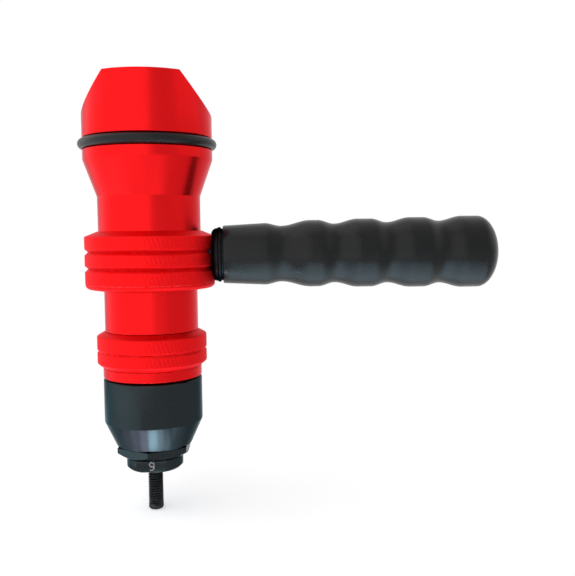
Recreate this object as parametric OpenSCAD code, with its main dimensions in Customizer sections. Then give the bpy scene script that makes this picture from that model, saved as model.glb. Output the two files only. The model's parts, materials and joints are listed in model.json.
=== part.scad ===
// Rivet nut setting tool with a side handle.
// The tool axis is Z. The rivet nut seats on the anvil face at z = 0, the mandrel
// points down and the drive socket is in the cap at the top. The handle runs along +X.

/* [Mandrel] */
// Thread diameter of the mandrel
mandrel_d = 6; // [4:0.5:8]
// Length of the mandrel below the anvil face
mandrel_reach = 17.6; // [10:0.1:25]
// Radius of the rounded end of the mandrel
mandrel_tip_r = 1.2; // [0.4:0.1:1.6]
// Width of the ledge under the mandrel head
mandrel_ledge = 2; // [1:0.1:4]
// Height of the mandrel head
mandrel_head_h = 6; // [4:0.5:8]

/* [Nose] */
// Width of the ledge of the anvil around its shank
anvil_ledge = 3.22; // [2:0.01:5]
// Height of the anvil below its lock nut
anvil_h = 4.8; // [3:0.1:8]
// Depth of the two spanner flats of the anvil
anvil_flat_depth = 1.7; // [0.5:0.1:2]
// Bevel at the face of the anvil
anvil_bevel = 1; // [0.3:0.1:1.5]
// Wall of the anvil shank
anvil_shank_wall = 4.9; // [3:0.1:6]
// Length of the anvil shank
anvil_shank_l = 15; // [8:0.5:18]
// Wall of the anvil lock nut at its flats
lock_nut_wall = 5.49; // [4:0.01:8]
// Height of the anvil lock nut
lock_nut_h = 4.5; // [3.5:0.1:7]
// Turn of the anvil and its lock nut about the tool axis
nose_turn = -4.5; // [-30:0.5:30]
// How far the end of the nose stands out of the flats of the lock nut
nose_tip_step = 1.2; // [0.2:0.1:3]
// Height of the nose cone
nose_cone_h = 10.2; // [6:0.1:16]
// Width of the shoulder of the nose housing around its tail
nose_shoulder = 4.89; // [4:0.01:7]
// Height of the straight part of the nose housing
nose_l = 17; // [12:0.1:24]
// Thickness of the closed end of the nose housing
nose_floor = 11.7; // [8:0.1:16]
// Wall of the nose tail
tail_wall = 2; // [1.6:0.1:4]
// Depth of the nose tail inside the sleeve when the nose is fully out
tail_depth = 2; // [1:0.1:5]

/* [Stroke ring] */
// How far the knurled bands of the stroke ring stand out of the sleeve
ring_step = 3.25; // [2.5:0.05:6]
// Height of the knurled part of the stroke ring
ring_band_h = 10.5; // [8:0.1:16]
// Height of the lower chamfer of the stroke ring
ring_foot_h = 1.9; // [1:0.1:3]
// Width of the lower face of the stroke ring
ring_foot_w = 0.81; // [0.4:0.01:2]
// Height of the upper chamfer of the stroke ring
ring_crown_h = 1.8; // [1:0.1:3]
// Depth of the groove between the two knurled bands
ring_groove = 0.6; // [0.2:0.1:1]
// Wall of the threaded insert of the stroke ring
insert_wall = 3.9; // [3:0.1:5]
// How far the lip of the insert stands out below the stroke ring
lip_step = 0.94; // [0.2:0.01:2]
// Height of the lip
lip_h = 4.2; // [2.5:0.1:7]
// Gap between the lip and the nose housing when the nose is fully in
lip_gap = 0.3; // [0.1:0.05:1]

/* [Body] */
// How far the sleeve stands out of the spigot
sleeve_step = 1.24; // [0.8:0.01:3]
// Height of the sleeve between the stroke ring and the collar
sleeve_l = 17.3; // [12:0.1:26]
// Wall of the spigot that carries the stroke ring
spigot_wall = 2.45; // [2.1:0.05:4]
// How far the neck stands out of the sleeve
neck_step = 1.7; // [1:0.1:4]
// Height of the neck above the collar
neck_l = 13.3; // [10:0.1:20]
// Height of the conical shoulder
shoulder_h = 14.2; // [10:0.1:20]
// Wall of the body head around the cap thread
head_wall = 5; // [4:0.1:8]
// Height of the straight rim of the head
head_h = 4; // [2:0.1:8]

/* [Collar] */
// How far the knurled bands of the collar stand out of the neck
collar_step = 5.35; // [4:0.05:9]
// Height of the collar below the handle base
collar_floor = 1.7; // [0.8:0.1:5]
// Height of the collar above the handle axis
collar_rise = 9.6; // [8:0.1:14]
// Radius of the lower outer edge of the collar
collar_round = 2.1; // [0.5:0.1:3]
// Height of the chamfer at the top of the collar
collar_crown_h = 2; // [1:0.1:3]
// Width of the two grooves between the knurled bands
collar_groove_w = 2.2; // [1:0.1:3]
// Depth of the two grooves
collar_groove_h = 1.3; // [0.5:0.1:2]

/* [Cap] */
// Height of the cap
cap_h = 22.95; // [18:0.05:30]
// Wall between the cap bush and the edges of the flat land
cap_land_wall = 2.92; // [1.5:0.01:8]
// Slope of the slanted cuts from the level
cap_slope = 52; // [40:1:62]
// Length of the cap thread in the body
cap_thread_l = 8.8; // [5:0.1:10]
// Wall of the cap thread
cap_thread_wall = 4.65; // [2:0.05:8]
// Cord diameter of the body O-ring
o_ring_cord = 4; // [2.5:0.1:5]
// How far the O-ring stands out of the cap
o_ring_proud = 1.8; // [0.2:0.1:2]

/* [Drive] */
// Width of the square drive socket
drive_square = 9.6; // [6.4:0.1:10.4]
// Depth of the square drive socket
drive_depth = 14; // [10:0.1:20]
// Wall of the drive journal at the corners of the socket
socket_wall = 2.21; // [1:0.01:4]
// Diameter of the lead screw
screw_d = 14; // [11:0.1:15]
// Height of the drive flange
drive_flange_h = 5; // [3:0.1:6]
// Wall of the cap bush
bush_wall = 2; // [1:0.1:2.2]

/* [Bearing] */
// Diameter of the bearing balls
ball_d = 5; // [3:0.1:5.5]
// Number of bearing balls
ball_count = 12; // [6:1:12]
// Height of each bearing race
race_h = 2.5; // [1.5:0.1:4]
// Width of the plain rims of each bearing race beside the balls
race_rim = 1; // [0.5:0.1:3]

/* [Puller] */
// Wall of the pull sleeve around the mandrel holder
puller_wall = 2.9; // [2.2:0.1:5]
// Length of the pull sleeve
puller_l = 48; // [42:0.1:50]
// Wall of the mandrel holder around the mandrel head
holder_wall = 4; // [3:0.1:6]
// Height of the mandrel holder rim below the pull sleeve
holder_rim_h = 4; // [2:0.1:8]
// Wall under the mandrel head
holder_floor = 4; // [2.5:0.1:6]
// Thickness of the backing disc behind the mandrel head
disc_h = 1; // [0.6:0.1:3]
// Diameter of the guide pins
pin_d = 4; // [2.5:0.1:5]

/* [Handle] */
// Thread diameter of the handle stud
stud_d = 10; // [6:0.1:10]
// Length of the handle stud inside the grip
stud_grip_l = 88; // [40:1:95]
// Diameter of the handle base
base_d = 21; // [17:0.1:22]
// How far the bead stands out of the handle base
base_bead = 0.4; // [0.1:0.1:1]
// Step from the handle base down to its neck in the collar
base_neck_step = 2.5; // [1:0.1:3]
// Length of the rounded shoulder of the handle base
base_shoulder_l = 2.4; // [1:0.1:3]
// How far the handle base stands out of the collar
base_reach = 3.35; // [2.6:0.05:8]
// Diameter at the start of the grip
grip_start_d = 22.9; // [20:0.1:26]
// Diameter at the end of the plain part of the grip
grip_stub_d = 24.6; // [22:0.1:28]
// Length of the plain part of the grip
grip_stub_l = 16.6; // [10:0.1:24]
// Number of finger grooves
groove_count = 4; // [2:1:5]
// Distance between neighbouring finger grooves
groove_pitch = 21.4; // [19:0.1:26]
// Depth of the finger grooves below the ridges
groove_depth = 1.9; // [0.8:0.1:3]
// Diameter of the first ridge
ridge_first_d = 26.7; // [24:0.1:30]
// Diameter of the last ridge
ridge_last_d = 29; // [25:0.1:33]
// Length of the rounded end of the grip
grip_dome_l = 8; // [5:0.1:14]

/* [Motion] */
// Travel of the mandrel
pull_stroke = 7; // [4:0.1:9]
// Travel of the nose as the stroke ring is turned
nose_travel = 3; // [1:0.1:4]

/* [Fits] */
// Radial clearance of turning and sliding fits
run = 0.05; // [0.02:0.01:0.1]
// Radial clearance of seated and threaded fits
seat = 0.03; // [0.01:0.01:0.06]
// End play of the parts that turn
play = 0.1; // [0.05:0.05:0.3]
// Free room around parts that never touch
room = 0.35; // [0.3:0.05:0.5]

/* [Hidden] */
$fn = 96;

// Diameters, from the mandrel outwards
mandrel_bore = 0.08;
mandrel_head_d = mandrel_d + 2 * mandrel_ledge;
holder_d = mandrel_head_d + 2 * (seat + holder_wall);
puller_d = holder_d + 2 * (seat + puller_wall);
tail_gap = 0.5;
tail_bore_d = puller_d + 2 * tail_gap;
tail_d = tail_bore_d + 2 * tail_wall;
spigot_d = tail_d + 2 * (run + spigot_wall);
sleeve_d = spigot_d + 2 * sleeve_step;
neck_d = sleeve_d + 2 * neck_step;
collar_d = neck_d + 2 * collar_step;
ring_d = sleeve_d + 2 * ring_step;
insert_d = tail_d + 2 * insert_wall;
lip_d = insert_d + 2 * lip_step;
nose_d = tail_d + 2 * nose_shoulder;
anvil_shank_d = mandrel_d + 2 * (mandrel_bore + anvil_shank_wall);
anvil_d = anvil_shank_d + 2 * anvil_ledge;
anvil_flats = anvil_d - 2 * anvil_flat_depth;
lock_nut_af = anvil_shank_d + 2 * (seat + lock_nut_wall);
nose_tip_d = lock_nut_af + 2 * nose_tip_step;

// Diameters of the bearing, the drive and the cap
race_gap = 1;
race_bore_r = screw_d / 2 + race_gap;
ball_circle_d = 2 * (race_bore_r + race_rim) + ball_d;
race_d = ball_circle_d + ball_d + 2 * race_rim;
journal_d = drive_square * sqrt(2) + 2 * socket_wall;
bush_r = journal_d / 2 + run + bush_wall;
cap_land = 2 * (bush_r + seat + cap_land_wall);
cap_thread_d = race_d + 2 * (room + cap_thread_wall);
cap_d = cap_thread_d + 2 * head_wall;

// Heights of the outside, from the anvil face upwards
nut_z = anvil_h;
nose_z = nut_z + lock_nut_h;
nose_cyl_z = nose_z + nose_cone_h;
nose_top_z = nose_cyl_z + nose_l;
lip_z = nose_top_z + lip_gap;
ring_z = lip_z + lip_h;
ring_band_z = ring_z + ring_foot_h;
ring_crown_z = ring_band_z + ring_band_h;
ring_top_z = ring_crown_z + ring_crown_h;
sleeve_z = ring_top_z + play;
collar_z = ring_top_z + sleeve_l;
handle_z = collar_z + collar_floor + base_d / 2;
collar_top_z = handle_z + collar_rise;
neck_top_z = collar_top_z + neck_l;
head_z = neck_top_z + shoulder_h;
head_top_z = head_z + head_h;
cap_z = head_top_z + o_ring_cord;
cap_top_z = cap_z + cap_h;

// Nose tail, its keys and the stroke ring
nose_chamfer = 0.5;
tail_top_z = ring_top_z + nose_travel + tail_depth;
tail_room = 1;
spigot_l = 7.2;
spigot_z = ring_top_z - spigot_l;
ring_flange_h = 4.2;
ring_flange_z = ring_top_z - ring_flange_h;
insert_room = 1;
insert_top_z = spigot_z - insert_room;
clip_h = 1.2;
clip_depth = 0.8;
clip_gap = 50;
ring_clip_z = ring_flange_z - play - clip_h;
ring_clip_proud = 1.2;
ring_clip_r = spigot_d / 2 + ring_clip_proud;
key_w = 4;
key_l = 6;
key_depth = 1.2;
key_proud = 0.9;
key_z = tail_top_z - key_l - tail_room;
lock_nut_bevel = 1.6;
lock_nut_bevel_angle = 35;
ring_groove_share = 0.45;

// Collar, its circlip and the handle
neck_seat = 4;
neck_z = collar_top_z - neck_seat;
collar_recess_h = 3;
collar_clip_z = collar_z + collar_recess_h - play - clip_h;
collar_clip_proud = 1.8;
collar_clip_r = sleeve_d / 2 + collar_clip_proud;
collar_groove_z = [7.3, 13.8];
shoe_l = 1.8;
stud_x = sleeve_d / 2 + shoe_l;
stud_bite = 1.5;
base_x = stud_x + stud_bite;
grip_start = collar_d / 2 + base_reach;
bead_w = 1.2;
waist_w = 1;
bead_x = grip_start - waist_w - bead_w;
base_waist = 0.2;
// Neck and shoulder of the handle base as outline points, larger by a gap for their seat
function base_shoulder(gap) = let (neck_r = base_d / 2 - base_neck_step) concat(
    [[neck_r + gap, base_x]],
    [for (s = [0 : curve_steps]) let (a = 90 * s / curve_steps)
        [neck_r + base_neck_step * sin(a) + gap, bead_x - base_shoulder_l * cos(a) - gap]]);

// Bearing, drive and cap
bearing_seat = 2.4;
race_z = neck_top_z + bearing_seat;
race_groove = 0.5;
ball_room = 0.1;
ball_z = race_z + race_h + ball_d / 2 - race_groove;
upper_race_z = ball_z + ball_d / 2 - race_groove;
cage_share = 0.32;
cage_h = ball_d * cage_share;
cage_rim = 0.5;
cage_w = ball_d + 2 * cage_rim;
flange_z = upper_race_z + race_h;
flange_top_z = flange_z + drive_flange_h;
washer_h = 1.8;
ceiling_z = flange_top_z + play + washer_h;
cap_thread_z = head_top_z - cap_thread_l;
bush_cover = 2.75;
bush_lead = 2;
drive_sunk = 0.55;
edge_break = 0.5;
o_ring_r = cap_d / 2 + o_ring_proud - o_ring_cord / 2;
o_ring_squeeze = 0.05;
o_ring_land_r = o_ring_r - o_ring_cord / 2 - play;

// Puller and mandrel
puller_room = 3;
puller_top_z = race_z - pull_stroke - puller_room;
puller_z = puller_top_z - puller_l;
holder_l = holder_floor + mandrel_head_h;
disc_z = puller_z + holder_l;
screw_room = 2;
screw_z = disc_z + disc_h + pull_stroke + screw_room;
screw_chamfer = 1;
head_seat_z = puller_z + holder_floor;
shank_relief = 0.2;
pin_rise = 9.5;
pin_z = collar_z + pin_rise;
pin_bite = 1.6;
pin_sunk = 0.5;
slot_room = 0.5;

// Grip outline along its axis
stub_end = grip_start + grip_stub_l;
groove_lead = 6.6;
groove_run = 9.5;
groove_first = stub_end + groove_lead;
first_extra = 0.3;
first_longer = 2.3;
curve_steps = 6;
dome_steps = 8;
function ridge_r(i) = (ridge_first_d + (ridge_last_d - ridge_first_d) * i / (groove_count - 1)) / 2;
function valley_r(i) = ridge_r(i) - groove_depth - (i == 0 ? first_extra : 0);
function valley_x(i) = groove_first + i * groove_pitch;
function rise_l(i) = groove_run + (i == 0 ? first_longer : 0);
function before_r(i) = i == 0 ? grip_stub_d / 2 : ridge_r(i - 1);
function ease(a, b, t) = a + (b - a) * (1 - cos(180 * t)) / 2;
last_ridge_l = 6.3;
last_ridge_x = valley_x(groove_count - 1) + groove_run + last_ridge_l;
grip_end = last_ridge_x + grip_dome_l;
stud_room = 1;

// Overshoot of the cuts that pass right through
over = 1;

// Points of an arc, from one angle to another
function arc(centre, r, from, to, steps) =
    [for (i = [0 : steps]) let (a = from + (to - from) * i / steps) centre + r * [cos(a), sin(a)]];

// Solid of revolution about Z from an outline of [radius, height] points
module turned(points) {
    rotate_extrude() polygon(points);
}

// Straight tube from one height to another
module tube(r_in, r_out, z0, z1) {
    turned([[r_in, z0], [r_out, z0], [r_out, z1], [r_in, z1]]);
}

// Straight rod from one height to another
module rod(r, z0, z1) {
    translate([0, 0, z0]) cylinder(r = r, h = z1 - z0);
}

// Places its children with their Z along the handle, outwards from the tool axis
module along_handle() {
    translate([0, 0, handle_z]) rotate([0, 90, 0]) children();
}

// Open retaining ring with its gap at the back
module circlip(r_in, r_out, z) {
    difference() {
        tube(r_in, r_out, z, z + clip_h);
        translate([0, 0, z - over]) linear_extrude(clip_h + 2 * over)
            polygon([[0, 0], 2 * r_out * [sin(clip_gap / 2), cos(clip_gap / 2)],
                2 * r_out * [-sin(clip_gap / 2), cos(clip_gap / 2)]]);
    }
}

// Two radial bars on opposite sides of the tool axis
module key_pair(w, r_in, r_out, z0, z1) {
    for (side = [-1, 1])
        translate([side > 0 ? r_in : -r_out, -w / 2, z0]) cube([r_out - r_in, w, z1 - z0]);
}

module main_body() {
    color("red") difference() {
        turned([[tail_d / 2 + run, spigot_z], [spigot_d / 2, spigot_z], [spigot_d / 2, sleeve_z],
            [sleeve_d / 2, sleeve_z], [sleeve_d / 2, neck_z], [neck_d / 2, neck_z],
            [neck_d / 2, neck_top_z], [cap_d / 2, head_z], [cap_d / 2, head_top_z],
            [cap_thread_d / 2 + seat, head_top_z], [cap_thread_d / 2 + seat, cap_thread_z],
            [race_d / 2 + seat, cap_thread_z], [race_d / 2 + seat, race_z],
            [puller_d / 2 + run, race_z], [puller_d / 2 + run, tail_top_z + tail_room],
            [tail_d / 2 + run, tail_top_z + tail_room]]);
        tube(spigot_d / 2 - clip_depth, spigot_d, ring_clip_z - run, ring_clip_z + clip_h + run);
        tube(sleeve_d / 2 - clip_depth, sleeve_d, collar_clip_z - run, collar_clip_z + clip_h + run);
        key_pair(key_w + 2 * play, 0, tail_d / 2 + key_proud + play, spigot_z - over,
            tail_top_z + tail_room);
        translate([0, 0, pin_z]) rotate([90, 0, 0])
            cylinder(d = pin_d + 2 * seat, h = 2 * sleeve_d, center = true);
    }
}

module end_cap() {
    cut_run = cap_d;
    color("red") difference() {
        turned([[race_d / 2 + room, cap_thread_z], [cap_thread_d / 2, cap_thread_z],
            [cap_thread_d / 2, head_top_z], [o_ring_land_r, head_top_z], [o_ring_land_r, cap_z],
            [cap_d / 2 - edge_break, cap_z], [cap_d / 2, cap_z + edge_break],
            [cap_d / 2, cap_top_z - edge_break], [cap_d / 2 - edge_break, cap_top_z],
            [journal_d / 2 + room, cap_top_z], [journal_d / 2 + room, cap_top_z - bush_cover],
            [bush_r + seat, cap_top_z - bush_cover], [bush_r + seat, ceiling_z],
            [race_d / 2 + room, ceiling_z]]);
        for (side = [-1, 1])
            translate([side * cap_land / 2, 0, cap_top_z]) rotate([0, side * cap_slope, 0])
                translate([-cut_run, -cut_run, 0]) cube(2 * cut_run);
    }
}

module body_o_ring() {
    color("black") rotate_extrude() translate([o_ring_r, head_top_z + o_ring_cord / 2])
        circle(d = o_ring_cord - 2 * o_ring_squeeze);
}

module cap_bush() {
    color("goldenrod") tube(journal_d / 2 + run, bush_r, ceiling_z + bush_lead, cap_top_z - bush_cover);
}

module thrust_washer() {
    color("goldenrod") tube(journal_d / 2 + room, race_d / 2, ceiling_z - washer_h, ceiling_z);
}

// Bearing race with a ball track in one face
module race(r, z) {
    difference() {
        tube(race_bore_r, r, z, z + race_h);
        rotate_extrude() translate([ball_circle_d / 2, ball_z]) circle(d = ball_d + 2 * ball_room);
    }
}

module lower_race() {
    color("silver") race(race_d / 2, race_z);
}

module upper_race() {
    color("silver") race(race_d / 2 - room, upper_race_z);
}

// Places its children at each ball centre
module at_balls() {
    for (i = [0 : ball_count - 1])
        rotate([0, 0, 360 * i / ball_count]) translate([ball_circle_d / 2, 0, ball_z]) children();
}

module ball_cage() {
    color("goldenrod") difference() {
        tube((ball_circle_d - cage_w) / 2, (ball_circle_d + cage_w) / 2, ball_z - cage_h / 2,
            ball_z + cage_h / 2);
        at_balls() cylinder(d = ball_d + 2 * ball_room, h = 2 * ball_d, center = true);
    }
}

module thrust_balls() {
    color("silver") at_balls() sphere(d = ball_d);
}

module guide_pins() {
    pin_in = puller_d / 2 - pin_bite;
    pin_out = sleeve_d / 2 - pin_sunk;
    color("silver") for (side = [-1, 1])
        translate([0, 0, pin_z]) rotate([side * 90, 0, 0]) rod(pin_d / 2, pin_in, pin_out);
}

module ring_circlip() {
    color("dimgray") circlip(spigot_d / 2 - clip_depth + seat, ring_clip_r, ring_clip_z);
}

module collar_circlip() {
    color("dimgray") circlip(sleeve_d / 2 - clip_depth + seat, collar_clip_r, collar_clip_z);
}

module drive_shaft() {
    top_z = cap_top_z - drive_sunk;
    flange_r = race_d / 2 - room;
    color("dimgray") difference() {
        turned([[0, screw_z], [screw_d / 2 - screw_chamfer, screw_z],
            [screw_d / 2, screw_z + screw_chamfer], [screw_d / 2, upper_race_z],
            [race_bore_r - seat, upper_race_z], [race_bore_r - seat, flange_z],
            [flange_r, flange_z], [flange_r, flange_top_z], [journal_d / 2, flange_top_z],
            [journal_d / 2, top_z - edge_break], [journal_d / 2 - edge_break, top_z], [0, top_z]]);
        translate([-drive_square / 2, -drive_square / 2, top_z - drive_depth])
            cube([drive_square, drive_square, 2 * drive_depth]);
    }
}

module pull_sleeve() {
    slot_w = pin_d + 2 * play;
    slot_low = pin_z - pull_stroke - pin_d / 2 - slot_room;
    slot_high = pin_z + pin_d / 2 + slot_room;
    color("gray") difference() {
        turned([[holder_d / 2 + seat, puller_z], [puller_d / 2, puller_z], [puller_d / 2, puller_top_z],
            [screw_d / 2 + run, puller_top_z], [screw_d / 2 + run, disc_z + disc_h],
            [holder_d / 2 + seat, disc_z + disc_h]]);
        rotate([0, 0, 90]) key_pair(slot_w, puller_d / 2 - pin_bite - play, puller_d, slot_low, slot_high);
    }
}

module backing_disc() {
    color("silver") rod(holder_d / 2, disc_z, disc_z + disc_h);
}

module mandrel_holder() {
    shank_r = mandrel_d / 2 - shank_relief;
    color("dimgray") turned([[shank_r + seat, puller_z - holder_rim_h],
        [puller_d / 2 - edge_break, puller_z - holder_rim_h],
        [puller_d / 2, puller_z - holder_rim_h + edge_break], [puller_d / 2, puller_z],
        [holder_d / 2, puller_z], [holder_d / 2, disc_z], [mandrel_head_d / 2 + seat, disc_z],
        [mandrel_head_d / 2 + seat, head_seat_z], [shank_r + seat, head_seat_z]]);
}

module mandrel() {
    r = mandrel_d / 2;
    tip_z = -mandrel_reach;
    shank_r = r - shank_relief;
    color("black") turned(concat([[0, tip_z]],
        arc([r - mandrel_tip_r, tip_z + mandrel_tip_r], mandrel_tip_r, -90, 0, dome_steps),
        [[r, 0], [shank_r, 0], [shank_r, head_seat_z], [mandrel_head_d / 2, head_seat_z],
            [mandrel_head_d / 2, disc_z], [0, disc_z]]));
}

module nose_housing() {
    floor_z = nose_z + nose_floor;
    color("black") difference() {
        turned([[anvil_shank_d / 2 + seat, nose_z], [nose_tip_d / 2, nose_z], [nose_d / 2, nose_cyl_z],
            [nose_d / 2, nose_top_z - nose_chamfer], [nose_d / 2 - nose_chamfer, nose_top_z],
            [tail_d / 2, nose_top_z], [tail_d / 2, tail_top_z], [tail_bore_d / 2, tail_top_z],
            [tail_bore_d / 2, floor_z], [anvil_shank_d / 2 + seat, floor_z]]);
        key_pair(key_w + 2 * seat, tail_d / 2 - key_depth - seat, tail_d, key_z - seat,
            key_z + key_l + seat);
    }
}

module nose_keys() {
    color("silver") key_pair(key_w, tail_d / 2 - key_depth, tail_d / 2 + key_proud, key_z, key_z + key_l);
}

module anvil() {
    shank_top_z = anvil_h + anvil_shank_l;
    color("black") difference() {
        union() {
            intersection() {
                turned([[0, 0], [anvil_d / 2 - anvil_bevel, 0], [anvil_d / 2, anvil_bevel],
                    [anvil_d / 2, anvil_h], [0, anvil_h]]);
                rotate([0, 0, nose_turn]) cube([2 * anvil_d, anvil_flats, 4 * anvil_h], center = true);
            }
            rod(anvil_shank_d / 2, anvil_h, shank_top_z);
        }
        rod(mandrel_d / 2 + mandrel_bore, -over, shank_top_z + over);
    }
}

module anvil_lock_nut() {
    sides = 6;
    corner_r = lock_nut_af / 2 / cos(180 / sides);
    foot_r = lock_nut_af / 2 - lock_nut_bevel;
    bevel_h = (corner_r - foot_r) * tan(lock_nut_bevel_angle);
    color("black") difference() {
        intersection() {
            translate([0, 0, nut_z]) rotate([0, 0, 180 / sides + nose_turn])
                cylinder(r = corner_r, h = lock_nut_h, $fn = sides);
            turned([[0, nut_z], [foot_r, nut_z], [corner_r, nut_z + bevel_h], [corner_r, nose_z],
                [0, nose_z]]);
        }
        rod(anvil_shank_d / 2 + seat, nut_z - over, nose_z + over);
    }
}

module stroke_ring() {
    r = ring_d / 2;
    groove_z = ring_band_z + ring_band_h * ring_groove_share;
    insert_r = insert_d / 2 + seat;
    color("red") turned([[insert_r, ring_z], [insert_r + ring_foot_w, ring_z], [r, ring_band_z],
        [r, groove_z - ring_groove], [r - ring_groove, groove_z], [r, groove_z + ring_groove],
        [r, ring_crown_z], [sleeve_d / 2, ring_top_z], [spigot_d / 2 + run, ring_top_z],
        [spigot_d / 2 + run, ring_flange_z], [ring_clip_r + room, ring_flange_z],
        [ring_clip_r + room, insert_top_z], [insert_r, insert_top_z]]);
}

module ring_insert() {
    color("red") turned([[tail_d / 2 + run, lip_z], [lip_d / 2 - edge_break, lip_z],
        [lip_d / 2, lip_z + edge_break], [lip_d / 2, ring_z], [insert_d / 2, ring_z],
        [insert_d / 2, insert_top_z], [tail_d / 2 + run, insert_top_z]]);
}

module handle_collar() {
    r = collar_d / 2;
    low = arc([r - collar_round, collar_z + collar_round], collar_round, -90, 0, dome_steps);
    grooves = [for (z = collar_groove_z) each [[r, collar_z + z - collar_groove_w / 2],
        [r - collar_groove_h, collar_z + z], [r, collar_z + z + collar_groove_w / 2]]];
    color("red") difference() {
        turned(concat([[collar_clip_r + room, collar_z]], low, grooves,
            [[r, collar_top_z - collar_crown_h], [neck_d / 2 + run, collar_top_z],
                [neck_d / 2 + run, neck_z - play], [sleeve_d / 2 + run, neck_z - play],
                [sleeve_d / 2 + run, collar_z + collar_recess_h],
                [collar_clip_r + room, collar_z + collar_recess_h]]));
        along_handle() rod(stud_d / 2 + seat, 0, collar_d);
        along_handle() turned(concat([[0, base_x]], base_shoulder(seat),
            [[base_d / 2 + seat, collar_d], [0, collar_d]]));
    }
}

module lock_shoe() {
    color("goldenrod") difference() {
        along_handle() rod(stud_d / 2, sleeve_d / 2 - stud_d / 2, stud_x);
        rod(sleeve_d / 2 + run, collar_z, collar_top_z);
    }
}

module handle_base() {
    r = base_d / 2;
    color("black") along_handle() turned(concat([[stud_d / 2 + seat, base_x]], base_shoulder(0),
        [[r + base_bead, bead_x + base_bead], [r + base_bead, bead_x + bead_w],
            [r - base_waist, bead_x + bead_w + base_bead], [r - base_waist, grip_start],
            [stud_d / 2 + seat, grip_start]]));
}

module handle_stud() {
    color("silver") along_handle() rod(stud_d / 2, stud_x, grip_start + stud_grip_l);
}

module handle_grip() {
    bore_end = grip_start + stud_grip_l + stud_room;
    stub = [[grip_start_d / 2, grip_start]];
    waves = [for (i = [0 : groove_count - 1]) each concat(
        [for (s = [0 : curve_steps - 1]) let (t = s / curve_steps)
            [ease(before_r(i), valley_r(i), t), valley_x(i) - groove_lead * (1 - t)]],
        [for (s = [0 : curve_steps]) let (t = s / curve_steps)
            [ease(valley_r(i), ridge_r(i), t), valley_x(i) + rise_l(i) * t]])];
    end_r = ridge_r(groove_count - 1);
    dome = [for (s = [0 : dome_steps - 1]) let (a = 90 * s / dome_steps)
        [end_r * cos(a), last_ridge_x + grip_dome_l * sin(a)]];
    color("black") along_handle() turned(concat([[stud_d / 2 + seat, grip_start]], stub, waves, dome,
        [[0, grip_end], [0, bore_end], [stud_d / 2 + seat, bore_end]]));
}

main_body();
end_cap();
body_o_ring();
cap_bush();
thrust_washer();
lower_race();
guide_pins();
ring_circlip();
collar_circlip();
drive_shaft();
upper_race();
ball_cage();
thrust_balls();
pull_sleeve();
backing_disc();
mandrel_holder();
mandrel();
nose_housing();
nose_keys();
anvil();
anvil_lock_nut();
stroke_ring();
ring_insert();
handle_collar();
lock_shoe();
handle_base();
handle_stud();
handle_grip();
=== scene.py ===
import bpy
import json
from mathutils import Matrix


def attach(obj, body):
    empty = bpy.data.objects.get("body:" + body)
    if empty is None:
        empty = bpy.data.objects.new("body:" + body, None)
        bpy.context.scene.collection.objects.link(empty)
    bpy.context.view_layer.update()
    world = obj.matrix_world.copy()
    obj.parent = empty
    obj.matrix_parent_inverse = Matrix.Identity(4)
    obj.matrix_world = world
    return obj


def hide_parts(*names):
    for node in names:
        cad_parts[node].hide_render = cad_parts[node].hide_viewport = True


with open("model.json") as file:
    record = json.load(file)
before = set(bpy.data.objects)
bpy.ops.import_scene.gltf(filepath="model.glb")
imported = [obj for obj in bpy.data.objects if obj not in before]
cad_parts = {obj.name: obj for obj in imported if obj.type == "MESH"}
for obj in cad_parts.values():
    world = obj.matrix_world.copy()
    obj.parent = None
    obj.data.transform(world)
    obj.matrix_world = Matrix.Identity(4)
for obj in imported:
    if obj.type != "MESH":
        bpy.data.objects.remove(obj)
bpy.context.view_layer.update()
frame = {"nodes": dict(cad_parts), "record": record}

import json
import math

import bmesh
import bpy
from mathutils import Matrix, Vector

MM = 0.001
FULL_TURN = 2 * math.pi
QUARTER_TURN = math.pi / 2
nodes = frame["nodes"]
scene = bpy.context.scene

# All sizes are in millimetres, and those of the solids are as in the part's source. Z runs along the tool,
# with the anvil's face at 0 and the mandrel below it, and the handle points to +X.

# Clearances of running fits, of seated pieces, along the axis and around hidden pieces
RUN = 0.05
SEAT = 0.03
PLAY = 0.1
ROOM = 0.35

# Retaining rings, and the radius that their groove cutters reach to
CLIP_H = 1.2
CLIP_DEPTH = 0.8
CLIP_CUT_R = 20.0

# Mandrel
TIP_Z = -17.6
TIP_ROUND = 1.2
MANDREL_R = 3.0
THREAD_L = 16.3
THREAD_PITCH = 1.0
THREAD_DEPTH = 0.55
THREAD_RUN_IN = 0.9
MANDREL_SHANK_R = 2.8
MANDREL_HEAD_R = 5.0
MANDREL_HEAD_Z = 56.0
MANDREL_TOP_Z = 62.0

# Anvil and lock nut, both turned a little about the tool's axis
NOSE_TURN = math.radians(-4.5)
ANVIL_R = 11.2
ANVIL_BEVEL = 1.0
ANVIL_EDGE = 0.2
ANVIL_FLATS = 19.0
ANVIL_BORE_R = 3.08
ANVIL_SHANK_R = 7.98
ANVIL_TOP_Z = 19.8
NUT_Z = 4.8
NUT_FLAT_R = 13.5
NUT_BEVEL = 1.6
NUT_BEVEL_ANGLE = math.radians(35)
NUT_EDGE = 0.15
NUT_CORNER_CUT = 0.12

# Nose housing with its tail and the keys in it
NOSE_Z = 9.3
NOSE_TIP_R = 14.7
NOSE_TIP_ROUND = 0.9
NOSE_CYL_Z = 19.5
NOSE_CYL_ROUND = 0.6
NOSE_R = 19.35
NOSE_TOP_Z = 36.5
NOSE_CHAMFER = 0.5
NOSE_FLOOR_Z = 21.0
TAIL_R = 14.46
TAIL_BORE_R = 12.46
TAIL_TOP_Z = 60.2
KEY_W = 4.0
KEY_L = 6.0
KEY_DEPTH = 1.2
KEY_PROUD = 0.9
KEY_Z = 53.2

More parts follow.
